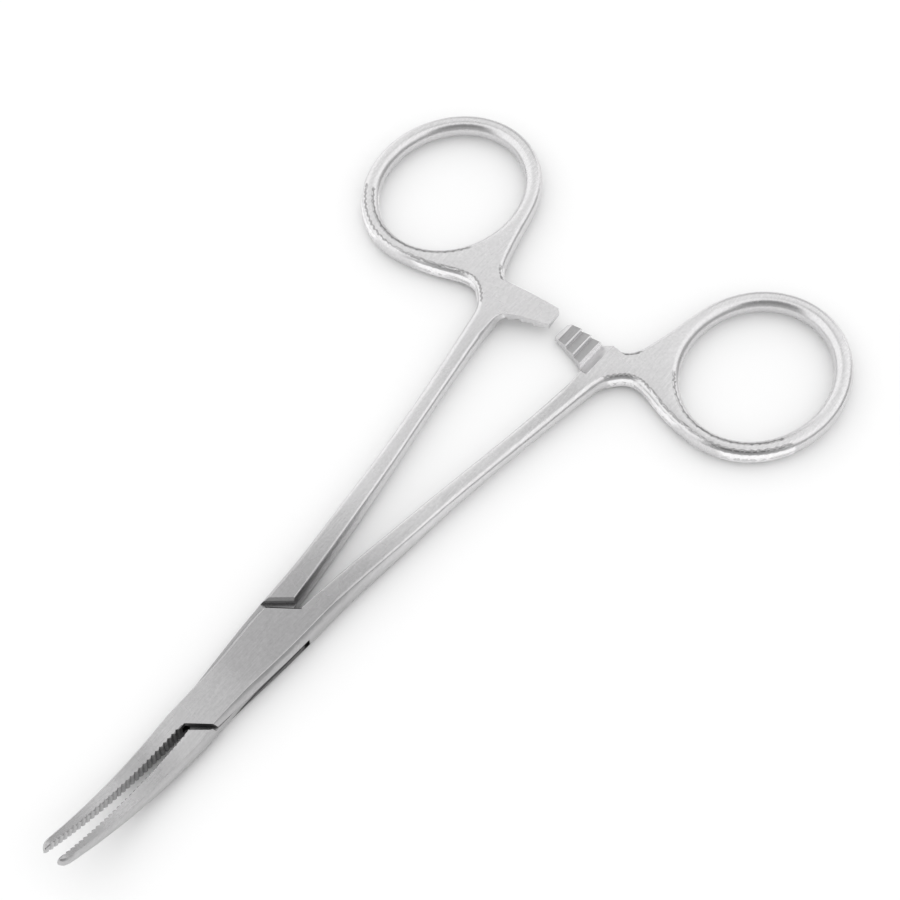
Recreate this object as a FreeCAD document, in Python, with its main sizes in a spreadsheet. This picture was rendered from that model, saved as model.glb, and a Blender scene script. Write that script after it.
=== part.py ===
"""Curved box-lock hemostat forceps, 125 mm long: two forged halves on one riveted pin.

Both halves are drawn closed, about the pivot: +X runs to the jaw tips, +Z is up, and the
half with the box lies to +Y at the handle and to -Y at the jaws. Lengths are millimetres.
"""
import FreeCAD, Part
import math
import os
import Sketcher

Vector = FreeCAD.Vector
YZ_TURN = FreeCAD.Rotation(Vector(1, 1, 1), 120)

SIZES = {
    # handles and finger rings
    "ring_reach": (78.1, "pivot to ring centre, along the forceps"),
    "ring_offset": (24.5, "middle line to ring centre, forceps closed"),
    "ring_opening_long": (23.9, "finger opening along the forceps"),
    "ring_opening_wide": (20.0, "finger opening across the forceps"),
    "ring_wall": (2.65, "radial width of the ring"),
    "ring_thickness": (2.7, "height of rings, necks and ratchet"),
    "ring_inner_round": (1.15, "rounding of the finger opening"),
    "side_bulge": (0.8, "how far the sides of ring and shank swell"),
    "outer_edge_round": (0.8, "rounding of the edges of ring and outer shank"),
    "inner_edge_round": (0.6, "rounding of the shank's edges along its inner side"),
    # shanks
    "ratchet_to_shank": (9.0, "ring side of the ratchet bar to the thin end of the shank"),
    "shank_offset": (6.95, "middle line to shank centre at the thin end"),
    "shank_width": (3.2, "width of the shank at the thin end"),
    "shank_thickness": (2.2, "height of the shank at its thinnest"),
    # ratchet
    "ring_to_ratchet": (9.1, "ring centre to the ring side of the ratchet bars"),
    "ratchet_bar_width": (3.15, "width of a bar at its tip"),
    "ratchet_overlap": (1.3, "bar tip past the middle line, closed"),
    "ratchet_gap": (0.1, "height between the two rows of crests"),
    "tooth_pitch": (1.7, "ratchet tooth pitch"),
    "tooth_height": (0.5, "ratchet tooth height"),
    "tooth_land": (0.2, "flat on a ratchet crest"),
    "first_crest": (1.0, "middle line to the first crest, closed"),
    # box lock
    "lock_thickness": (3.7, "height over the box"),
    "lock_bulge": (0.8, "how far the sides of the box swell"),
    "lock_half_width": (3.65, "pivot to the side of the box, along the shank's outer side"),
    "lock_far_width": (3.35, "pivot to the side of the box, along the jaw's back"),
    "lock_edge_round": (0.25, "rounding of the box's edges"),
    "crotch_swell": (0.35, "how far the box swells at its corner in the crotch"),
    "flats_start": (11.5, "pivot to where the box's flats end and the shank thins"),
    "box_slant": (37.0, "slant of the box's ends in plan, degrees"),
    "box_handle_end": (8.2, "pivot square to the handle end of the box"),
    "box_jaw_end": (8.36, "pivot square to the jaw end of the box"),
    "slot_end_gap": (0.65, "slot's end walls past the tongue, closed"),
    "jaw_root": (11.0, "pivot to the root of the jaws"),
    "root_thickness": (2.9, "height at the root of the jaws"),
    "tongue_thickness": (1.2, "height of the tongue inside the box"),
    "tongue_clearance": (0.05, "play above and below the tongue"),
    "handle_gap": (0.7, "gap at the shank shoulders, closed"),
    "jaw_gap": (0.4, "gap at the jaw shoulders, closed"),
    "handle_shoulder_bevel": (0.35, "bevel on the shank shoulders"),
    "plate_bevel": (0.32, "bevel on the handle end of the box"),
    "jaw_shoulder_bevel": (0.12, "bevel on the jaw shoulders"),
    "pin_diameter": (2.4, "pivot pin"),
    "pin_clearance": (0.03, "radial play of the pin in the tongue"),
    # jaws
    "bend_start": (13.0, "pivot to where the jaws begin to curve up"),
    "bend_radius": (45.0, "radius of the jaws' curve"),
    "jaw_length": (23.7, "length of a jaw along its curve"),
    "jaw_root_width": (2.95, "width of a jaw at its root"),
    "jaw_tip_width": (1.05, "width of a jaw before its rounded tip"),
    "jaw_tip_thickness": (1.5, "height of a jaw at its tip"),
    "jaw_face_gap": (0.15, "middle line to the jaw face at the root, closed"),
    "tip_face_gap": (0.03, "middle line to the jaw face at the tip, closed"),
    "jaw_edge_break": (0.14, "bevel along the toothed face"),
    "nose_length": (1.3, "length of the rounded tip"),
    "serration_pitch": (0.75, "pitch of the cross serrations"),
    "serration_depth": (0.28, "depth of the cross serrations"),
    # pose
    "rest_angle": (1.65, "turn of each half from closed, as it lies"),
}

doc = FreeCAD.newDocument("hemostat_forceps")
sheet = doc.addObject("Spreadsheet::Sheet", "sizes")
for row, (alias, (value, note)) in enumerate(SIZES.items(), start=1):
    sheet.set("A%d" % row, alias.replace("_", " "))
    sheet.set("B%d" % row, str(value))
    sheet.set("C%d" % row, note)
    sheet.setAlias("B%d" % row, alias)
doc.recompute()


def size(alias):
    """A driving size, read back from the sheet."""
    return float(sheet.get(alias))


def add_shape(name, shape):
    """A feature whose shape is set by code from the sheet's sizes."""
    feature = doc.addObject("Part::Feature", name)
    feature.Shape = shape
    return feature


def combine(kind, name, base, tool):
    """A boolean of two features."""
    feature = doc.addObject("Part::" + kind, name)
    feature.Base, feature.Tool = base, tool
    return feature


def extrude(name, base, direction, forward, reverse="0"):
    """A solid from a closed profile, its lengths bound to the sheet."""
    solid = doc.addObject("Part::Extrusion", name)
    solid.Base = base
    solid.DirMode = "Custom"
    solid.Dir = direction
    solid.Solid = True
    solid.setExpression("LengthFwd", forward)
    solid.setExpression("LengthRev", reverse)
    return solid


def polygon(name, corners, turn):
    """A closed sketch whose corners are pairs of expressions in the sheet's sizes."""
    sketch = doc.addObject("Sketcher::SketchObject", name)
    sketch.Placement = FreeCAD.Placement(Vector(0, 0, 0), turn)
    count = len(corners)
    rough = [Vector(math.cos(2 * math.pi * i / count), math.sin(2 * math.pi * i / count), 0)
             for i in range(count)]
    for i in range(count):
        sketch.addGeometry(Part.LineSegment(rough[i], rough[(i + 1) % count]))
    for i in range(count):
        sketch.addConstraint(Sketcher.Constraint("Coincident", i, 2, (i + 1) % count, 1))
    for i, corner in enumerate(corners):
        for axis, expression in zip("XY", corner):
            rough_value = rough[i].x if axis == "X" else rough[i].y
            index = sketch.addConstraint(
                Sketcher.Constraint("Distance" + axis, -1, 1, i, 1, rough_value))
            sketch.setExpression("Constraints[%d]" % index, expression)
    return sketch


# Plan outline of a half at two levels: the mid-height of the forging, where its sides swell
# furthest, and a little above the box's flats. The sides fall away with the height squared.
ABOVE_FLATS = 1.1
LEVEL = ABOVE_FLATS * size("lock_thickness") / 2
DRAW = ABOVE_FLATS ** 2


def unit(vector):
    """A direction of length one."""
    return Vector(vector).normalize()


def spline_pair(stations, start=None, end=None, start_flat=None, end_flat=None):
    """Edges through (x, y, swell) stations at mid-height, and drawn in by each swell."""
    points = [Vector(x, y, 0) for x, y, swell in stations]
    mid = Part.BSplineCurve()
    tangents = {"Scale": False}
    if start:
        tangents["InitialTangent"] = unit(start)
    if end:
        tangents["FinalTangent"] = unit(end)
    mid.interpolate(Points=points, **tangents)
    drawn_in = []
    for point, (x, y, swell) in zip(points, stations):
        along = unit(mid.tangent(mid.parameter(point))[0])
        drawn_in.append(point + Vector(-along.y, along.x, 0) * swell * DRAW)
    if start_flat:
        drawn_in[0] = start_flat
    if end_flat:
        drawn_in[-1] = end_flat
    flat = Part.BSplineCurve()
    flat.interpolate(Points=drawn_in, **tangents)
    return mid.toShape(), flat.toShape()


def line_pair(mid_start, mid_end, flat_start, flat_end):
    """Straight edges at mid-height and at the flats."""
    return (Part.LineSegment(mid_start, mid_end).toShape(),
            Part.LineSegment(flat_start, flat_end).toShape())


def ends(pair, which):
    """The end points of a pair of edges, at mid-height and at the flats."""
    return [edge.Vertexes[which].Point for edge in pair]


def tangent_angle(outside, long_axis, wide_axis):
    """Angle on an ellipse about the origin where a line from outside touches it."""
    across, along = outside.y / wide_axis, outside.x / long_axis
    return math.atan2(across, along) - math.acos(1 / math.hypot(across, along))


def box_end_point(side, across):
    """Where a slanted end of the box crosses a height in plan: side -1 handle, 1 jaw."""
    slant = math.radians(size("box_slant"))
    distance = size("box_jaw_end") if side > 0 else -size("box_handle_end")
    return Vector((distance - across * math.sin(slant)) / math.cos(slant), across, 0)


# Distances from the pivot, along the forceps, to the ring side of the ratchet bar and to the
# thin end of the shank.
ratchet_reach = size("ring_reach") - size("ring_to_ratchet")
shank_start = ratchet_reach - size("ratchet_to_shank")


def plan_outline():
    """Pairs of edges, counterclockwise, of one forged half from ring to jaw root."""
    cx, cy = -size("ring_reach"), size("ring_offset")
    bulge, lock_bulge = size("side_bulge"), size("lock_bulge")
    half_lock, far_lock, root = size("lock_half_width"), size("lock_far_width"), size("jaw_root")
    box_draw = lock_bulge * DRAW
    thin_x, thin_y = -shank_start, size("shank_offset")
    half_shank = size("shank_width") / 2
    long_mid = size("ring_opening_long") / 2 + size("ring_wall")
    wide_mid = size("ring_opening_wide") / 2 + size("ring_wall")

    # corners of the box: handle end and jaw end
    face, crotch_swell = -size("jaw_face_gap"), size("crotch_swell")
    handle_corner, jaw_side = -far_lock - 0.53, half_lock - 0.38
    box_inner = box_end_point(-1, -face)
    box_inner_flat = box_end_point(-1, crotch_swell * DRAW - face)
    box_outer = box_end_point(-1, handle_corner)
    box_outer_flat = box_end_point(-1, handle_corner + box_draw)
    jaw_inner, jaw_corner = box_end_point(1, face), Vector(root, face, 0)
    jaw_outer = box_end_point(1, jaw_side)
    jaw_outer_flat = box_end_point(1, jaw_side - box_draw)

    # outer side: box, then the shank from its thick root to its thin end
    thick_x, thick_y = -14, half_lock + 0.43
    thin_outer = thin_y + half_shank
    run, rise = thin_x - thick_x, thin_outer - thick_y
    outer = spline_pair([
        (jaw_outer.x, jaw_outer.y, lock_bulge),
        (3, half_lock - 0.15, lock_bulge),
        (-3, half_lock + 0.2, lock_bulge),
        (-9, half_lock + 0.37, lock_bulge),
        (thick_x, thick_y, lock_bulge),
        (thick_x + 0.25 * run, thick_y + 0.14 * rise, 0.8 * bulge),
        (thick_x + 0.46 * run, thick_y + 0.3 * rise, 0.95 * bulge),
        (thick_x + 0.7 * run, thick_y + 0.57 * rise, bulge),
        (thin_x, thin_outer, bulge)],
        end=(-1, 0.14, 0), start_flat=jaw_outer_flat)

    # outer crotch and neck, into the front of the ring
    crotch = spline_pair([
        (thin_x, thin_outer, bulge),
        (thin_x - 2.6, thin_outer + 0.5, bulge),
        (thin_x - 4.4, thin_outer + 1.6, bulge),
        (cx + long_mid - 2.15, cy - 12.9, bulge),
        (cx + long_mid - 1.45, cy - 8.0, bulge),
        (cx + long_mid - 0.25, cy - 3.0, bulge),
        (cx + long_mid, cy, bulge)],
        start=(-1, 0.14, 0), end=(0, 1, 0),
        start_flat=ends(outer, -1)[1])

    # ring, round to where the straight inner neck leaves it, and the neck
    ring_steps, bar_top = 12, 6.5
    neck_end = Vector(-ratchet_reach - 3.05, bar_top + 3.6, 0)
    leave = tangent_angle(neck_end - Vector(cx, cy, 0), long_mid, wide_mid) + 2 * math.pi
    turns = [leave * step / ring_steps for step in range(ring_steps + 1)]
    slope = Vector(-long_mid * math.sin(leave), wide_mid * math.cos(leave), 0)
    ring = spline_pair([
        (cx + long_mid * math.cos(turn), cy + wide_mid * math.sin(turn), bulge)
        for turn in turns],
        start=(0, 1, 0), end=slope, start_flat=ends(crotch, -1)[1])
    neck_mid, neck_flat = ends(ring, -1)
    neck = spline_pair([
        (neck_mid.x, neck_mid.y, bulge),
        (neck_end.x, neck_end.y, bulge),
        (-ratchet_reach - 0.8, neck_end.y - 1.0, 0.6 * bulge),
        (-ratchet_reach + 0.08, bar_top + 1.4, 0.2 * bulge),
        (-math.sqrt(ratchet_reach ** 2 - bar_top ** 2), bar_top, 0)],
        start=slope, end=(bar_top / ratchet_reach, -1, 0), start_flat=neck_flat)

    # ratchet bar: arcs about the pivot, a clipped tip and a widening root
    tip_y = -size("ratchet_overlap")
    clip_y = tip_y + 0.55
    near = ratchet_reach - size("ratchet_bar_width")
    bar_start = ends(neck, -1)[0]
    bar_middle_y = (bar_top + clip_y) / 2
    bar_middle = Vector(-math.sqrt(ratchet_reach ** 2 - bar_middle_y ** 2), bar_middle_y, 0)
    clip = Vector(-math.sqrt(ratchet_reach ** 2 - clip_y ** 2), clip_y, 0)
    bar_arc = Part.Arc(bar_start, bar_middle, clip).toShape()
    tip_far = Vector(-ratchet_reach + 0.45, tip_y + 0.1, 0)
    tip_near = Vector(-near, tip_y, 0)
    bar_outer = (bar_arc, bar_arc.copy())
    tip_clip = line_pair(clip, tip_far, clip, tip_far)
    tip_end = line_pair(tip_far, tip_near, tip_far, tip_near)
    inner_y = thin_y - half_shank
    root_fillet = spline_pair([
        (tip_near.x, tip_near.y, 0),
        (-near + 0.5, inner_y - 4.6, 0),
        (-near + 1.1, inner_y - 2.5, 0),
        (-near + 1.8, inner_y - 0.95, 0),
        (thin_x - 3.3, inner_y - 0.25, 0.4 * bulge),
        (thin_x - 1.8, inner_y + 0.02, 0.8 * bulge),
        (thin_x, inner_y, bulge)],
        end=(1, -0.1, 0))

    # inner side of the shank down to the box
    drop = inner_y - box_inner.y
    inner_run = box_inner.x - thin_x
    inner = spline_pair([
        (thin_x, inner_y, bulge),
        (thin_x + 0.17 * inner_run, box_inner.y + 0.855 * drop, bulge),
        (thin_x + 0.47 * inner_run, box_inner.y + 0.5 * drop, 0.95 * bulge),
        (thin_x + 0.72 * inner_run, box_inner.y + 0.215 * drop, 0.8 * bulge),
        (thin_x + 0.9 * inner_run, box_inner.y + 0.06 * drop, 0.5 * bulge),
        (box_inner.x, box_inner.y, crotch_swell)],
        start=(1, -0.1, 0), start_flat=ends(root_fillet, -1)[1], end_flat=box_inner_flat)

    # box: handle end, far side, root of the jaw, jaw end
    box_end = line_pair(box_inner, box_outer, box_inner_flat, box_outer_flat)
    root_width = size("jaw_root_width")
    far_side = spline_pair([
        (box_outer.x, box_outer.y, lock_bulge),
        (-3, -far_lock - 0.25, lock_bulge),
        (1.5, -far_lock + 0.15, lock_bulge),
        (5.5, -far_lock + 0.32, lock_bulge),
        (root, -root_width, lock_bulge)],
        end=(1, 0.05, 0), start_flat=box_outer_flat,
        end_flat=Vector(root, -root_width + box_draw, 0))
    side_mid, side_flat = ends(far_side, -1)
    root_line = line_pair(side_mid, jaw_corner, side_flat, jaw_corner)
    face_line = line_pair(jaw_corner, jaw_inner, jaw_corner, jaw_inner)
    jaw_end = line_pair(jaw_inner, jaw_outer, jaw_inner, jaw_outer_flat)
    return [outer, crotch, ring, neck, bar_outer, tip_clip, tip_end, root_fillet, inner,
            box_end, far_side, root_line, face_line, jaw_end]


pairs = plan_outline()
mid_wire = Part.Wire([pair[0] for pair in pairs])
flat_wire = Part.Wire([pair[1] for pair in pairs])
outline_wires = []
for name, wire, height in (("outline_bottom", flat_wire, -LEVEL),
                           ("outline_middle", mid_wire, 0),
                           ("outline_top", flat_wire, LEVEL)):
    placed = wire.copy()
    placed.translate(Vector(0, 0, height))
    outline_wires.append(add_shape(name, placed))
plan_body = doc.addObject("Part::Loft", "plan_body")
plan_body.Sections = outline_wires
plan_body.Solid = True
plan_body.Ruled = False


def side_profile():
    """Side view of a forged half: thin at the shank, thickest at the box."""
    ring_top, box_top = size("ring_thickness") / 2, size("lock_thickness") / 2
    thin_top, root_top = size("shank_thickness") / 2, size("root_thickness") / 2
    back, start = -size("ring_reach") - size("ring_opening_long"), -shank_start
    neck, flats_start, taper_start = start - 3, -size("flats_start"), 2
    past = size("jaw_root") + 2
    taper = (box_top - root_top) / (size("jaw_root") - taper_start)
    past_top = box_top - taper * (past - taper_start)
    rise, run = box_top - thin_top, flats_start - start
    stations = [(neck, ring_top), (start + 0.16 * run, thin_top),
                (start + 0.35 * run, thin_top + 0.02), (start + 0.54 * run, thin_top + 0.24 * rise),
                (start + 0.72 * run, thin_top + 0.58 * rise),
                (start + 0.88 * run, thin_top + 0.86 * rise), (flats_start, box_top)]
    slope = Part.BSplineCurve()
    slope.interpolate(Points=[Vector(x, 0, z) for x, z in stations],
                      InitialTangent=Vector(1, 0, 0), FinalTangent=Vector(1, 0, 0), Scale=False)
    taper_top = Vector(taper_start, 0, box_top)
    top = [Part.LineSegment(Vector(back, 0, ring_top), Vector(neck, 0, ring_top)).toShape(),
           slope.toShape(),
           Part.LineSegment(Vector(flats_start, 0, box_top), taper_top).toShape(),
           Part.LineSegment(taper_top, Vector(past, 0, past_top)).toShape()]
    bottom = [edge.mirror(Vector(0, 0, 0), Vector(0, 0, 1)) for edge in top]
    front = Part.LineSegment(Vector(past, 0, past_top), Vector(past, 0, -past_top)).toShape()
    rear = Part.LineSegment(Vector(back, 0, ring_top), Vector(back, 0, -ring_top)).toShape()
    return Part.Face(Part.Wire(Part.__sortEdges__(top + bottom + [front, rear])))


side_face = add_shape("side_profile", side_profile())
side_slab = extrude("side_slab", side_face, Vector(0, 1, 0),
                    "2 * sizes.ring_offset + 20", "2 * sizes.ring_offset")
handle_blank = combine("Common", "handle_blank", plan_body, side_slab)

# Finger opening: an oval hole, its edges rounded for the finger.
opening_oval = doc.addObject("Part::Ellipse", "opening_oval")
opening_oval.setExpression("MajorRadius", "sizes.ring_opening_long / 2")
opening_oval.setExpression("MinorRadius", "sizes.ring_opening_wide / 2")
opening_oval.setExpression("Placement.Base.x", "-sizes.ring_reach")
opening_oval.setExpression("Placement.Base.y", "sizes.ring_offset")
opening = extrude("finger_opening", opening_oval, Vector(0, 0, 1),
                  "sizes.ring_thickness", "sizes.ring_thickness")
pierced = combine("Cut", "pierced_handle", handle_blank, opening)
doc.recompute()


def opening_edges(shape):
    """Numbers of the two oval edges of the finger opening."""
    long_half, top = size("ring_opening_long") / 2, size("ring_thickness") / 2
    found = []
    for number, edge in enumerate(shape.Edges, start=1):
        box = edge.BoundBox
        if abs(abs(box.Center.z) - top) < 0.01 and abs(box.XLength - 2 * long_half) < 0.01:
            found.append(number)
    return found


rounded = doc.addObject("Part::Fillet", "rounded_ring")
rounded.Base = pierced
inner_round = size("ring_inner_round")
rounded.Edges = [(number, inner_round, inner_round) for number in opening_edges(pierced.Shape)]


# Edges of the flats: well rounded along shank and ring, running out to crisp at the box.
def edge_rounds(shape):
    """Numbers of the long edges to round, with a radius at each of their ends."""
    crisp, outer, inner = size("lock_edge_round"), size("outer_edge_round"), size("inner_edge_round")
    flats_start, half_way_out = size("flats_start"), size("lock_half_width") / 2
    rows = []
    for number, edge in enumerate(shape.Edges, start=1):
        points = sorted((vertex.Point for vertex in edge.Vertexes), key=lambda point: point.x)
        along_a_flat = len(points) == 2 and points[0].z * points[1].z > 0.5
        if not along_a_flat:
            continue
        ring_end, jaw_end = points
        middle = (ring_end + jaw_end) * 0.5
        if jaw_end.x - ring_end.x > (shank_start - flats_start) / 2:
            thin_round = outer if jaw_end.y > half_way_out else inner
            rows.append((number,) + tuple(crisp if vertex.X > middle.x else thin_round
                                          for vertex in edge.Vertexes))
        elif middle.y > half_way_out and abs(ring_end.x + flats_start) < 0.05 and jaw_end.x > 0:
            rows.append((number, crisp, crisp))
        elif middle.y > size("shank_offset") and abs(jaw_end.x + shank_start) < 0.3:
            rows.append((number, outer, outer))
    return rows


eased = doc.addObject("Part::Fillet", "eased_handle")
eased.Base = rounded
doc.recompute()
eased.Edges = edge_rounds(rounded.Shape)

# Ratchet: the upper half of the bar is cut away down to three teeth and a ramp.
CREST = "-sizes.ratchet_gap / 2"
VALLEY = CREST + " - sizes.tooth_height"
RAMP_FOOT = "sizes.first_crest + 2.2 * sizes.tooth_pitch"
RAMP_TOP = "sizes.first_crest + 3.3 * sizes.tooth_pitch"
STEEP_SIDE = " + 0.2 * sizes.tooth_height"
ratchet_corners = [(RAMP_TOP, "sizes.ring_thickness"),
                   (RAMP_TOP, "sizes.ring_thickness / 2"),
                   (RAMP_FOOT, VALLEY)]
for tooth in (2, 1, 0):
    crest = "sizes.first_crest + %d * sizes.tooth_pitch" % tooth
    ratchet_corners += [(crest + STEEP_SIDE, VALLEY),
                        (crest, CREST),
                        (crest + " - sizes.tooth_land", CREST)]
ratchet_corners += [("-sizes.ratchet_overlap / 2", VALLEY + " + 0.2 * sizes.tooth_height"),
                    ("-sizes.ratchet_overlap - 1", VALLEY),
                    ("-sizes.ratchet_overlap - 1", "sizes.ring_thickness")]
ratchet_sketch = polygon("ratchet_profile", ratchet_corners, YZ_TURN)
ratchet_sketch.setExpression("Placement.Base.x", "sizes.ring_to_ratchet - sizes.ring_reach - 1")
ratchet_cutter = extrude("ratchet_cutter", ratchet_sketch, Vector(1, 0, 0),
                         "sizes.ratchet_to_shank - 1.6")
handle = combine("Cut", "handle", eased, ratchet_cutter)
doc.recompute()


# Jaw: sections set square to a line that runs straight, then curves up.
def jaw_frame(distance):
    """Centre and upward direction of the jaw's section at a distance along it."""
    straight = size("bend_start") - size("jaw_root")
    radius = size("bend_radius")
    if distance <= straight:
        return Vector(size("jaw_root") + distance, 0, 0), Vector(0, 0, 1)
    turn = (distance - straight) / radius
    centre = Vector(size("bend_start") + radius * math.sin(turn), 0, radius * (1 - math.cos(turn)))
    return centre, Vector(-math.sin(turn), 0, math.cos(turn))


def jaw_section(distance, shrink=1.0):
    """Closed wire: toothed face, two edge breaks, two flats and a swelling back."""
    share = distance / size("jaw_length")
    root_thick, tip_thick = size("root_thickness"), size("jaw_tip_thickness")
    thick = tip_thick + (root_thick - tip_thick) * max(0, 1 - share) ** 1.6
    face = size("jaw_face_gap") + (size("tip_face_gap") - size("jaw_face_gap")) * share
    width = size("jaw_root_width") + (size("jaw_tip_width") - size("jaw_root_width")) * share
    root_swell = size("lock_bulge") * (root_thick / size("lock_thickness")) ** 2
    swell = root_swell + (0.3 - root_swell) * share
    edge_break = size("jaw_edge_break")
    width = face + (width - face) * shrink
    swell = swell * (0.5 + 0.5 * shrink)
    half = thick / 2 * (0.45 + 0.55 * shrink)
    flat = max(width - swell, face + edge_break + 0.05)
    centre, up = jaw_frame(distance)

    def place(across, height):
        return centre + Vector(0, -across, 0) + up * height

    corners = [place(face, half - edge_break), place(face + edge_break, half), place(flat, half),
               place(flat, -half), place(face + edge_break, -half), place(face, edge_break - half)]
    back = Part.BezierCurve()
    back.setPoles([corners[2], place(2 * width - flat, 0), corners[3]])
    edges = [Part.LineSegment(corners[0], corners[1]).toShape(),
             Part.LineSegment(corners[1], corners[2]).toShape(),
             back.toShape(),
             Part.LineSegment(corners[3], corners[4]).toShape(),
             Part.LineSegment(corners[4], corners[5]).toShape(),
             Part.LineSegment(corners[5], corners[0]).toShape()]
    return Part.Wire(edges)


shaft_end = size("jaw_length") - size("nose_length")
jaw_wires = [jaw_section(shaft_end * step / 8) for step in range(9)]
nose_wires = []
for share in (0, 0.4, 0.7, 0.9, 0.985):
    nose_wires.append(jaw_section(shaft_end + share * size("nose_length"),
                                  math.sqrt(1 - share ** 2)))
jaw_shaft = Part.makeLoft(jaw_wires, True, False)
jaw_nose = Part.makeLoft(nose_wires, True, False)
jaw_blank = add_shape("jaw_blank", jaw_shaft.fuse(jaw_nose))


def serration_cutters():
    """V grooves across the toothed face, square to the jaw's curve."""
    depth, pitch = size("serration_depth"), size("serration_pitch")
    first, last = 0.9, size("jaw_length") - 0.6 * size("nose_length")
    grooves = []
    for index in range(int((last - first) / pitch) + 1):
        distance = first + index * pitch
        centre, up = jaw_frame(distance)
        along = up.cross(Vector(0, 1, 0)) * -1
        share = distance / size("jaw_length")
        face = size("jaw_face_gap") + (size("tip_face_gap") - size("jaw_face_gap")) * share
        reach, clear = 0.6 * size("root_thickness"), 0.1 * depth
        middle = centre - up * reach
        half_width = 0.4 * pitch * (depth + clear) / depth
        corners = [middle - along * half_width + Vector(0, clear - face, 0),
                   middle + along * half_width + Vector(0, clear - face, 0),
                   middle + Vector(0, -depth - face, 0)]
        groove = Part.Face(Part.makePolygon(corners + [corners[0]]))
        grooves.append(groove.extrude(up * 2 * reach))
    return Part.makeCompound(grooves)


serrations = add_shape("serration_cutters", serration_cutters())
jaw = combine("Cut", "jaw", jaw_blank, serrations)

# The half with the box: a slot through its mid-height takes the other half's tongue.
female_whole = combine("Fuse", "female_whole", handle, jaw)

# The half with the tongue is the same forging turned over, with its jaw still curving up.
handle_flipped = doc.addObject("Part::Mirroring", "handle_flipped")
handle_flipped.Source, handle_flipped.Normal = handle, Vector(0, 1, 0)
handle_turned = doc.addObject("Part::Mirroring", "handle_turned")
handle_turned.Source, handle_turned.Normal = handle_flipped, Vector(0, 0, 1)
jaw_mirrored = doc.addObject("Part::Mirroring", "jaw_mirrored")
jaw_mirrored.Source, jaw_mirrored.Normal = jaw, Vector(0, 1, 0)
male_whole = combine("Fuse", "male_whole", handle_turned, jaw_mirrored)


# Box lock: the slot's walls and the tongue's shoulders stand along the slanted ends.
slant_angle = math.radians(size("box_slant"))
cos_slant, sin_slant = math.cos(slant_angle), math.sin(slant_angle)
SLOT_TURN = FreeCAD.Rotation(Vector(cos_slant, -sin_slant, 0), Vector(0, 0, 1),
                             Vector(-sin_slant, -cos_slant, 0), "XYZ")
TONGUE_TURN = FreeCAD.Rotation(Vector(cos_slant, sin_slant, 0), Vector(0, 0, 1),
                               Vector(sin_slant, -cos_slant, 0), "XYZ")
WALL_HANDLE = "-sizes.box_handle_end - sizes.slot_end_gap"
WALL_JAW = "sizes.box_jaw_end + sizes.slot_end_gap"
SLOT_TOP = "sizes.tongue_thickness / 2 + sizes.tongue_clearance"
SIDEWAYS = "2 * (sizes.box_handle_end + sizes.slot_end_gap)"
slot_sketch = polygon("slot_profile", [
    (WALL_HANDLE, "-(" + SLOT_TOP + ")"), (WALL_JAW, "-(" + SLOT_TOP + ")"),
    (WALL_JAW, SLOT_TOP), (WALL_HANDLE, SLOT_TOP)], SLOT_TURN)
slot = extrude("box_slot", slot_sketch, Vector(sin_slant, cos_slant, 0),
               SIDEWAYS, SIDEWAYS)
slotted = combine("Cut", "slotted_half", female_whole, slot)

# The box's handle end is bevelled towards the shoulder of the other shank, from its outer
# side to its corner in the crotch.
FLAT_TOP = "sizes.lock_thickness / 2"
BEVEL_OUTSIDE = "-sizes.box_handle_end - sizes.plate_bevel"
bevel_sketch = polygon("plate_bevel_profile", [
    (BEVEL_OUTSIDE, FLAT_TOP + " - 2 * sizes.plate_bevel"),
    ("2 * sizes.plate_bevel - sizes.box_handle_end", FLAT_TOP + " + sizes.plate_bevel"),
    (BEVEL_OUTSIDE, FLAT_TOP + " + sizes.plate_bevel")], TONGUE_TURN)
bevel_above = extrude("plate_bevel_above", bevel_sketch, Vector(sin_slant, -cos_slant, 0), "0",
                      "sizes.box_handle_end * tan(sizes.box_slant * 1 deg)"
                      " + (sizes.jaw_face_gap + sizes.crotch_swell) / cos(sizes.box_slant * 1 deg)")
bevel_below = doc.addObject("Part::Mirroring", "plate_bevel_below")
bevel_below.Source, bevel_below.Normal = bevel_above, Vector(0, 0, 1)
bevelled_above = combine("Cut", "plate_above", slotted, bevel_above)
bevelled = combine("Cut", "bevelled_half", bevelled_above, bevel_below)

# The tongue: the other half is cut away above and below it, up to slanted shoulders.
SHOULDER_HANDLE = "-sizes.box_handle_end - sizes.handle_gap"
SHOULDER_JAW = "sizes.box_jaw_end + sizes.jaw_gap"
pocket_sketch = polygon("pocket_profile", [
    (SHOULDER_HANDLE, "sizes.tongue_thickness / 2"),
    (SHOULDER_JAW, "sizes.tongue_thickness / 2"),
    (SHOULDER_JAW, "sizes.root_thickness / 2 - sizes.jaw_shoulder_bevel"),
    (SHOULDER_JAW + " + sizes.jaw_shoulder_bevel + 1", "sizes.root_thickness / 2 + 1"),
    (SHOULDER_HANDLE + " - sizes.handle_shoulder_bevel - 1", "sizes.lock_thickness / 2 + 1"),
    (SHOULDER_HANDLE, "sizes.lock_thickness / 2 - sizes.handle_shoulder_bevel")], TONGUE_TURN)
pocket_above = extrude("pocket_above", pocket_sketch, Vector(sin_slant, -cos_slant, 0),
                       SIDEWAYS, SIDEWAYS)
pocket_below = doc.addObject("Part::Mirroring", "pocket_below")
pocket_below.Source, pocket_below.Normal = pocket_above, Vector(0, 0, 1)
cut_above = combine("Cut", "tongue_above", male_whole, pocket_above)
tongued = combine("Cut", "tongued_half", cut_above, pocket_below)


def pivot_cylinder(name, radius):
    """A cylinder on the pivot, as high as the box."""
    cylinder = doc.addObject("Part::Cylinder", name)
    cylinder.setExpression("Radius", radius)
    cylinder.setExpression("Height", "sizes.lock_thickness")
    cylinder.setExpression("Placement.Base.z", "-sizes.lock_thickness / 2")
    return cylinder


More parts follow.
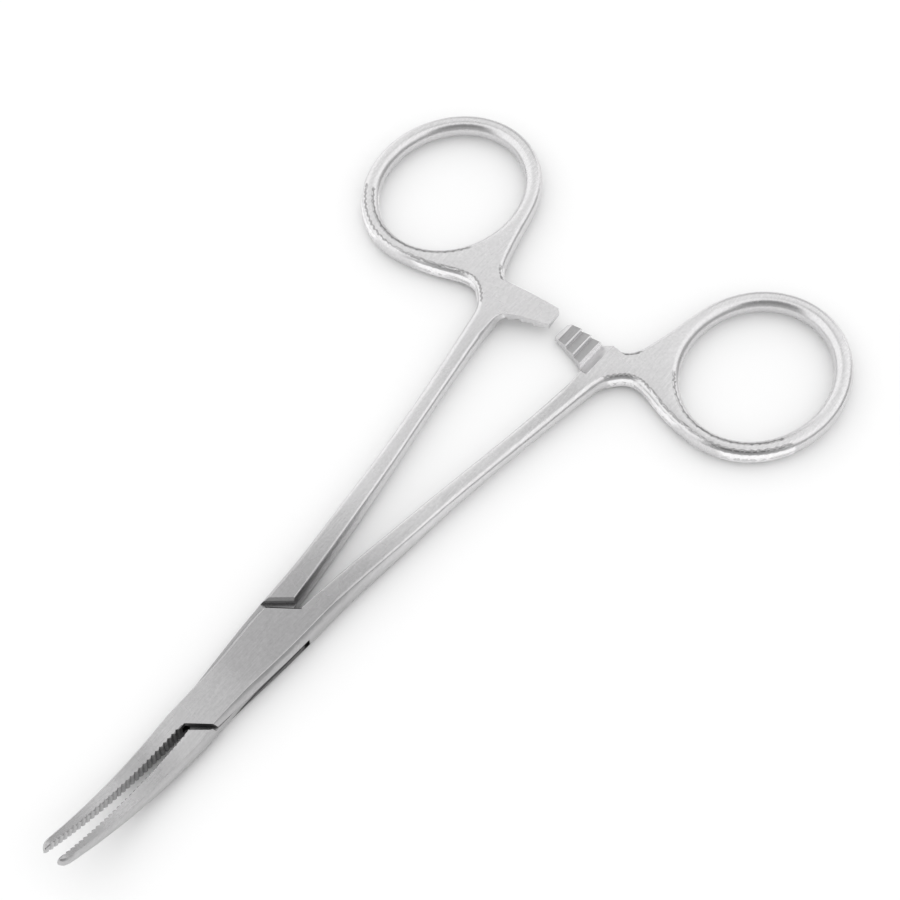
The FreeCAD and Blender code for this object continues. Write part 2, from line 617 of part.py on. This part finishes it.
box_bore = pivot_cylinder("box_bore", "sizes.pin_diameter / 2")
tongue_bore = pivot_cylinder("tongue_bore", "sizes.pin_diameter / 2 + sizes.pin_clearance")
female_half = combine("Cut", "female_half", bevelled, box_bore)
male_half = combine("Cut", "male_half", tongued, tongue_bore)

# The pin fills the bores and is ground flush with the box.
pivot_pin = doc.addObject("Part::Cylinder", "pivot_pin")
pivot_pin.setExpression("Radius", "sizes.pin_diameter / 2")
pivot_pin.setExpression("Height", "sizes.lock_thickness")

# As it lies: each half turned a little from closed, the box's underside at zero height.
rest = size("rest_angle")
lift = Vector(0, 0, size("lock_thickness") / 2)
female_half.Placement = FreeCAD.Placement(lift, FreeCAD.Rotation(Vector(0, 0, 1), -rest))
male_half.Placement = FreeCAD.Placement(lift, FreeCAD.Rotation(Vector(0, 0, 1), rest))
doc.recompute()

for item in doc.Objects:
    if "Invalid" in item.State or "Error" in item.State:
        raise RuntimeError("%s did not recompute: %s" % (item.Name, item.State))
    if hasattr(item, "Shape") and (item.Shape.isNull() or not item.Shape.isValid()):
        raise RuntimeError("%s has no valid shape" % item.Name)

os.makedirs("parts", exist_ok=True)
for node in (female_half, male_half, pivot_pin):
    node.Label = node.Name
    if len(node.Shape.Solids) != 1:
        raise RuntimeError("%s has %d solids" % (node.Name, len(node.Shape.Solids)))
    node.Shape.exportStep("parts/%s.step" % node.Label)
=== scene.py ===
"""Curved box-lock hemostat forceps, lying slightly open on a white table in a light tent."""
import bpy
import math
from mathutils import Matrix, Vector

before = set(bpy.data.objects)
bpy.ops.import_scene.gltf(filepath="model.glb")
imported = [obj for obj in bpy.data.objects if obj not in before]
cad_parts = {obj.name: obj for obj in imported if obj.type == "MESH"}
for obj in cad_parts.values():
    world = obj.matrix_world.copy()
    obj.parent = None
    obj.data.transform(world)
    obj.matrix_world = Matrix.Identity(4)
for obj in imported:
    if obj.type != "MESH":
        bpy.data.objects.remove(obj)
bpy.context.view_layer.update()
scene = bpy.context.scene
scene.view_settings.view_transform = "Standard"
MM = 0.001

# The forgings. Each half is drop-forged stainless steel, ground flat above and below, with
# swelling sides. The solids come from the frame; here their triangles are joined so that
# swelling sides and rounded rings shade smoothly and ground edges stay crisp.
CREASE = math.radians(32)
WELD = 0.002 * MM


def smooth_tree():
    """Joins a solid's loose triangles and shades it smooth, apart from its creases."""
    tree = bpy.data.node_groups.new("smooth_forging", "GeometryNodeTree")
    tree.interface.new_socket("Geometry", in_out="INPUT", socket_type="NodeSocketGeometry")
    tree.interface.new_socket("Geometry", in_out="OUTPUT", socket_type="NodeSocketGeometry")
    crease = tree.interface.new_socket("Crease", in_out="INPUT", socket_type="NodeSocketFloat")
    crease.default_value = CREASE
    nodes, links = tree.nodes, tree.links
    source, target = nodes.new("NodeGroupInput"), nodes.new("NodeGroupOutput")
    weld = nodes.new("GeometryNodeMergeByDistance")
    weld.inputs["Distance"].default_value = WELD
    faces = nodes.new("GeometryNodeSetShadeSmooth")
    faces.domain = "FACE"
    edges = nodes.new("GeometryNodeSetShadeSmooth")
    edges.domain = "EDGE"
    angle = nodes.new("GeometryNodeInputMeshEdgeAngle")
    below = nodes.new("FunctionNodeCompare")
    below.operation = "LESS_THAN"
    links.new(source.outputs["Geometry"], weld.inputs["Geometry"])
    links.new(weld.outputs["Geometry"], faces.inputs["Geometry"])
    links.new(faces.outputs["Geometry"], edges.inputs["Geometry"])
    links.new(angle.outputs["Unsigned Angle"], below.inputs[0])
    links.new(source.outputs["Crease"], below.inputs[1])
    links.new(below.outputs["Result"], edges.inputs["Shade Smooth"])
    links.new(edges.outputs["Geometry"], target.inputs["Geometry"])
    return tree


# Satin stainless steel. The flats are brushed along the forceps and finely grained, and the
# rounded sides are about as dull. Ground edges are broken to a small radius, the ratchet's
# tooth slopes get painted shade and its steep faces a painted highlight, and gaps get painted
# shade.
STEEL = (0.69, 0.685, 0.69)
TINT_SPREAD, STREAK_SHARE = 0.24, 0.5
BRUSH_SCALE, BRUSH_STRETCH = 6000.0, (0.07, 1.0, 1.0)
GRAIN_SCALE, CLOUD_SCALE = 2600.0, 160.0
BRUSH_DETAIL, GRAIN_DETAIL, CLOUD_DETAIL = 3.0, 4.0, 3.0
BRUSH_DEPTH, SIDE_BRUSHING, FLAT_BRUSHING = 0.004 * MM, 0.05, 0.35
FLAT_ROUGHNESS, SIDE_ROUGHNESS, ROUGHNESS_SPREAD = 0.27, 0.28, 0.03

# How upright a surface's normal is, from a side to a ground flat, and on the ratchet's teeth.
SIDE_TO_FLAT = (0.80, 0.985)
# The ratchet's tooth slopes get painted shade, and its steep faces a painted highlight.
TOOTH_SLOPE, SLOPE_FADE, SLOPE_PAINTED_SHADE = (0.90, 0.985), 0.01, 0.5
STEEP_FACE, STEEP_FADE, STEEP_PAINTED_HIGHLIGHT = (0.1, 0.45), 0.02, 1.4
RATCHET_X, RATCHET_FADE = (-70 * MM, -63.5 * MM), 0.3 * MM

# The box is painted darker than the handles, and the jaws a little less so: painted shade for
# the darker reflection their flats show. It changes gradually from the shanks to the box, and
# from the box to the jaws.
LOCK_PAINTED_SHADE_X, LOCK_PAINTED_SHADE = (-32 * MM, -12 * MM), 0.68
JAW_PAINTED_SHADE_X, JAW_PAINTED_SHADE = (4 * MM, 18 * MM), 1.08

# How far the painted shade in a gap darkens what lies in it, from shut to open, and how far
# the
# edges are broken: crisp on the box, jaws and ratchet, rounder on the shanks and rings.
GAP_OPENING, GAP_PAINTED_SHADE = (0.25, 0.85), 0.2
GAP_REACH, JAW_GAP_REACH, JAW_GAP_X = 0.6 * MM, 1.8 * MM, (8 * MM, 10 * MM)
EDGE_RADIUS, ROUND_RADIUS, CRISP_EDGES_FROM = 0.05 * MM, 0.4 * MM, -14 * MM
PIN_EDGE = 1.2 * MM
GAP_RAYS = EDGE_RAYS = 8


def span(nodes, links, value, given=(0.0, 1.0), wanted=(0.0, 1.0), smooth=False):
    """A value moved from one span to another, and held at its ends."""
    node = nodes.new("ShaderNodeMapRange")
    if smooth:
        node.interpolation_type = "SMOOTHSTEP"
    node.inputs["From Min"].default_value, node.inputs["From Max"].default_value = given
    node.inputs["To Min"].default_value, node.inputs["To Max"].default_value = wanted
    links.new(value, node.inputs["Value"])
    return node.outputs["Result"]


def combined(nodes, links, operation, *terms):
    """The result of one sum, whose terms are numbers or outputs of other nodes."""
    node = nodes.new("ShaderNodeMath")
    node.operation = operation
    for socket, term in zip(node.inputs, terms):
        if isinstance(term, float):
            socket.default_value = term
        else:
            links.new(term, socket)
    return node.outputs[0]


def between(nodes, links, value, limits, fade):
    """One where a value lies between two limits, fading to nothing past them."""
    low, high = limits
    rise = span(nodes, links, value, (low - fade, low))
    fall = span(nodes, links, value, (high + fade, high))
    return combined(nodes, links, "MULTIPLY", rise, fall)


def noise(nodes, links, coordinates, scale, detail):
    """A soft random pattern of a given fineness."""
    node = nodes.new("ShaderNodeTexNoise")
    node.inputs["Scale"].default_value = scale
    node.inputs["Detail"].default_value = detail
    links.new(coordinates, node.inputs["Vector"])
    return node.outputs["Fac"]


def satin_steel(name, edge_radius):
    """Metal whose roughness and grain follow which way the surface faces."""
    material = bpy.data.materials.new(name)
    material.use_nodes = True
    nodes, links = material.node_tree.nodes, material.node_tree.links
    shader = nodes["Principled BSDF"]
    shader.inputs["Metallic"].default_value = 1.0
    place = nodes.new("ShaderNodeTexCoord").outputs["Object"]
    where = nodes.new("ShaderNodeSeparateXYZ")
    links.new(place, where.inputs[0])
    along = where.outputs["X"]
    facing = nodes.new("ShaderNodeNewGeometry")
    split = nodes.new("ShaderNodeSeparateXYZ")
    links.new(facing.outputs["True Normal"], split.inputs[0])
    upright = combined(nodes, links, "ABSOLUTE", split.outputs["Z"])
    is_flat = span(nodes, links, upright, SIDE_TO_FLAT)

    stretch = nodes.new("ShaderNodeMapping")
    stretch.inputs["Scale"].default_value = BRUSH_STRETCH
    links.new(place, stretch.inputs["Vector"])
    brushed = noise(nodes, links, stretch.outputs["Vector"], BRUSH_SCALE, BRUSH_DETAIL)
    grain = noise(nodes, links, place, GRAIN_SCALE, GRAIN_DETAIL)
    cloud = noise(nodes, links, place, CLOUD_SCALE, CLOUD_DETAIL)
    grain_part = combined(nodes, links, "MULTIPLY", grain, 1 - STREAK_SHARE)
    streaks = combined(nodes, links, "MULTIPLY_ADD", brushed, STREAK_SHARE, grain_part)
    tint = nodes.new("ShaderNodeMixRGB")
    for socket, shade in (("Color1", 1 - TINT_SPREAD), ("Color2", 1 + TINT_SPREAD)):
        tint.inputs[socket].default_value = [channel * shade for channel in STEEL] + [1]
    links.new(streaks, tint.inputs["Fac"])

    at_ratchet = between(nodes, links, along, RATCHET_X, RATCHET_FADE)
    # Painted shade darkens the colour of the ratchet's tooth slopes.
    sloping = between(nodes, links, upright, TOOTH_SLOPE, SLOPE_FADE)
    slope_shade_mask = combined(nodes, links, "MULTIPLY", at_ratchet, sloping)
    painted_slope_shade = span(nodes, links, slope_shade_mask, wanted=(1.0, SLOPE_PAINTED_SHADE))
    # A painted highlight brightens the colour of the ratchet's steep tooth faces.
    standing = between(nodes, links, upright, STEEP_FACE, STEEP_FADE)
    steep_highlight_mask = combined(nodes, links, "MULTIPLY", at_ratchet, standing)
    painted_steep_highlight = span(nodes, links, steep_highlight_mask, wanted=(1.0, STEEP_PAINTED_HIGHLIGHT))
    ratchet_painted_light = combined(nodes, links, "MULTIPLY", painted_slope_shade, painted_steep_highlight)
    # Painted shade darkens the colour of the box, and a little less the jaws, for the darker
    # reflection of their flats.
    lock_painted_shade = span(nodes, links, along, LOCK_PAINTED_SHADE_X, (1.0, LOCK_PAINTED_SHADE), smooth=True)
    jaw_painted_shade = span(nodes, links, along, JAW_PAINTED_SHADE_X, (1.0, JAW_PAINTED_SHADE), smooth=True)
    place_painted_shade = combined(nodes, links, "MULTIPLY", lock_painted_shade, jaw_painted_shade)
    ratchet_and_place_painted_light = combined(nodes, links, "MULTIPLY", ratchet_painted_light, place_painted_shade)

    # Painted shade darkens the colour where ambient occlusion finds a gap, but not on the
    # ratchet.
    gap_occlusion = nodes.new("ShaderNodeAmbientOcclusion")
    gap_occlusion.samples = GAP_RAYS
    reach = span(nodes, links, along, JAW_GAP_X, (GAP_REACH, JAW_GAP_REACH))
    links.new(reach, gap_occlusion.inputs["Distance"])
    gap_painted_shade = span(nodes, links, gap_occlusion.outputs["AO"], GAP_OPENING, (GAP_PAINTED_SHADE, 1.0))
    gap_painted_shade_off_ratchet = combined(nodes, links, "MAXIMUM", gap_painted_shade, at_ratchet)
    shade = combined(nodes, links, "MULTIPLY", gap_painted_shade_off_ratchet, ratchet_and_place_painted_light)
    darker = nodes.new("ShaderNodeMixRGB")
    darker.blend_type = "MULTIPLY"
    darker.inputs["Fac"].default_value = 1.0
    links.new(tint.outputs["Color"], darker.inputs["Color1"])
    links.new(shade, darker.inputs["Color2"])
    links.new(darker.outputs["Color"], shader.inputs["Base Color"])

    finish = span(nodes, links, is_flat, wanted=(SIDE_ROUGHNESS, FLAT_ROUGHNESS))
    vary = span(nodes, links, cloud, wanted=(-ROUGHNESS_SPREAD, ROUGHNESS_SPREAD))
    links.new(combined(nodes, links, "ADD", finish, vary), shader.inputs["Roughness"])

    crisp = combined(nodes, links, "GREATER_THAN", along, CRISP_EDGES_FROM)
    crisp_or_ratchet = combined(nodes, links, "MAXIMUM", crisp, at_ratchet)
    rounded = nodes.new("ShaderNodeBevel")
    rounded.samples = EDGE_RAYS
    radius = span(nodes, links, crisp_or_ratchet, wanted=(ROUND_RADIUS, edge_radius))
    links.new(radius, rounded.inputs["Radius"])
    off_axis = nodes.new("ShaderNodeVectorMath")
    off_axis.operation = "MULTIPLY"
    off_axis.inputs[1].default_value = (1, 1, 0)
    links.new(place, off_axis.inputs[0])
    from_pin = nodes.new("ShaderNodeVectorMath")
    from_pin.operation = "LENGTH"
    links.new(off_axis.outputs["Vector"], from_pin.inputs[0])
    past_pin = span(nodes, links, from_pin.outputs["Value"],
                    (PIN_EDGE + edge_radius, PIN_EDGE + 2 * edge_radius))
    eased = nodes.new("ShaderNodeMix")
    eased.data_type = "VECTOR"
    links.new(past_pin, eased.inputs[0])
    links.new(facing.outputs["Normal"], eased.inputs[4])
    links.new(rounded.outputs["Normal"], eased.inputs[5])
    relief = nodes.new("ShaderNodeBump")
    relief.inputs["Distance"].default_value = BRUSH_DEPTH
    strength = span(nodes, links, is_flat, wanted=(SIDE_BRUSHING, FLAT_BRUSHING))
    links.new(strength, relief.inputs["Strength"])
    links.new(brushed, relief.inputs["Height"])
    links.new(eased.outputs[1], relief.inputs["Normal"])
    links.new(relief.outputs["Normal"], shader.inputs["Normal"])
    return material


smooth_forging = smooth_tree()
forged_steel = satin_steel("forged_satin_steel", EDGE_RADIUS)
for half in ("female_half", "male_half"):
    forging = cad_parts[half]
    forging.modifiers.new("smooth", "NODES").node_group = smooth_forging
    weighted = forging.modifiers.new("flats_stay_flat", "WEIGHTED_NORMAL")
    weighted.keep_sharp = True
    for slot in forging.material_slots:
        slot.material = forged_steel

# The pivot pin. A plain steel pin riveted through the box and ground flush, so that only the
# faintest ring can be seen round its ends.
PIN_EDGE_RADIUS = 0.005 * MM
pin_steel = satin_steel("pin_satin_steel", PIN_EDGE_RADIUS)
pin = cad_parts["pivot_pin"]
pin.modifiers.new("smooth", "NODES").node_group = smooth_forging
for slot in pin.material_slots:
    slot.material = pin_steel

# The table. A matt white sheet that shows white to the camera and keeps the contact shadow.
# It is paper, laid flat under the forceps.
FLOOR_WHITE, FLOOR_HALF = 0.9, 1.5
floor_mesh = bpy.data.meshes.new("table")
floor_mesh.from_pydata([(-FLOOR_HALF, -FLOOR_HALF, 0), (FLOOR_HALF, -FLOOR_HALF, 0),
                        (FLOOR_HALF, FLOOR_HALF, 0), (-FLOOR_HALF, FLOOR_HALF, 0)],
                       [], [(0, 1, 2, 3)])
table = bpy.data.objects.new("table", floor_mesh)
scene.collection.objects.link(table)
paper = bpy.data.materials.new("white_table")
paper.use_nodes = True
paper_shader = paper.node_tree.nodes["Principled BSDF"]
paper_shader.inputs["Base Color"].default_value = (FLOOR_WHITE, FLOOR_WHITE, FLOOR_WHITE, 1)
paper_shader.inputs["Roughness"].default_value = 1.0
paper_shader.inputs["Specular IOR Level"].default_value = 0.0
table.data.materials.append(paper)

# The light tent. White cloth all round above the table, with a dark front round the place the
# picture is taken from, a dimmer opening low down beside it, and a greyer panel high on the
# far side, which the flats of the box mirror.
CAMERA_AZIMUTH = 38.8
TENT_LEVEL, CLOTH_LEVEL = 1.15, 1.25
WHITE = (1, 1, 1, 1)
# Each round panel: degrees round from the camera, degrees up, inner and outer radius, level.
GREY_PANEL = (180, 64, 5, 12, 0.48)
BRIGHT_PANEL = (180, 43, 9, 14, 1.12)
LOW_PANEL = (165, 22, 16, 26, 0.65)
ROOF = (0, 90, 10, 20, 1.05)
DARK_FRONT = (0, 42, 28, 42, 0.25)
OPENING_ROUND, OPENING_TOP, OPENING_SIDE, OPENING_LEVEL = 35, (24, 42), (-0.1, 0.25), 0.45


def studio_world():
    """World light: even white for surfaces, and the tent by direction for reflections."""
    world = bpy.data.worlds.new("studio")
    scene.world = world
    world.use_nodes = True
    nodes, links = world.node_tree.nodes, world.node_tree.links
    nodes.clear()
    sky = nodes.new("ShaderNodeTexCoord").outputs["Generated"]
    height = nodes.new("ShaderNodeSeparateXYZ")
    links.new(sky, height.inputs[0])

    def toward(degrees_round, degrees_up):
        """How directly a direction of sky lies toward a point on it."""
        a, e = math.radians(CAMERA_AZIMUTH + degrees_round), math.radians(degrees_up)
        dot = nodes.new("ShaderNodeVectorMath")
        dot.operation = "DOT_PRODUCT"
        dot.inputs[1].default_value = (math.cos(e) * math.cos(a), math.cos(e) * math.sin(a),
                                       math.sin(e))
        links.new(sky, dot.inputs[0])
        return dot.outputs["Value"]

    def blend(share, level, below):
        """Blends a level of light over what lies below it."""
        mix = nodes.new("ShaderNodeMix")
        mix.data_type = "FLOAT"
        links.new(share, mix.inputs[0])
        if isinstance(below, float):
            mix.inputs[2].default_value = below
        else:
            links.new(below, mix.inputs[2])
        mix.inputs[3].default_value = level
        return mix.outputs[0]

    level = CLOTH_LEVEL
    for degrees_round, degrees_up, inner, outer, panel_level in (
            GREY_PANEL, BRIGHT_PANEL, LOW_PANEL, ROOF, DARK_FRONT):
        edge = (math.cos(math.radians(outer)), math.cos(math.radians(inner)))
        share = span(nodes, links, toward(degrees_round, degrees_up), edge, smooth=True)
        level = blend(share, panel_level, level)
    top = [math.sin(math.radians(angle)) for angle in OPENING_TOP]
    above = span(nodes, links, height.outputs["Z"], top, smooth=True)
    low_down = combined(nodes, links, "SUBTRACT", 1.0, above)
    beside = span(nodes, links, toward(OPENING_ROUND, 0), OPENING_SIDE, smooth=True)
    opening = combined(nodes, links, "MULTIPLY", low_down, beside)
    level = blend(opening, OPENING_LEVEL, level)
    mirrored = nodes.new("ShaderNodeBackground")
    mirrored.inputs["Color"].default_value = WHITE
    links.new(level, mirrored.inputs["Strength"])
    even = nodes.new("ShaderNodeBackground")
    even.inputs["Color"].default_value = WHITE
    even.inputs["Strength"].default_value = TENT_LEVEL
    kind = nodes.new("ShaderNodeLightPath")
    choose = nodes.new("ShaderNodeMixShader")
    links.new(kind.outputs["Is Glossy Ray"], choose.inputs[0])
    links.new(even.outputs[0], choose.inputs[1])
    links.new(mirrored.outputs[0], choose.inputs[2])
    output = nodes.new("ShaderNodeOutputWorld")
    links.new(choose.outputs[0], output.inputs["Surface"])


studio_world()

# The camera. A long lens that looks down on the forceps from beside the open rings, with
# the tips in the lower left corner of the picture.
CAMERA_PLACE = Vector((69.74, 90.15, 232.03)) * MM
LOOK = Vector((-0.4115, -0.3306, -0.8494)).normalized()
LEVEL_RIGHT = Vector((-0.626, 0.780, 0.0)).normalized()
ROLL, LENS, SENSOR, CLIP_START = math.radians(0.97), 80.0, 36.0, 0.01
down = LOOK.cross(LEVEL_RIGHT).normalized()
right = LEVEL_RIGHT * math.cos(ROLL) + down * math.sin(ROLL)
up = LEVEL_RIGHT * math.sin(ROLL) - down * math.cos(ROLL)
camera_data = bpy.data.cameras.new("camera")
camera_data.lens = LENS
camera_data.sensor_width = SENSOR
camera_data.clip_start = CLIP_START
camera = bpy.data.objects.new("camera", camera_data)
turn = Matrix((right, up, -LOOK)).transposed().to_4x4()
camera.matrix_world = Matrix.Translation(CAMERA_PLACE) @ turn
scene.collection.objects.link(camera)
scene.camera = camera
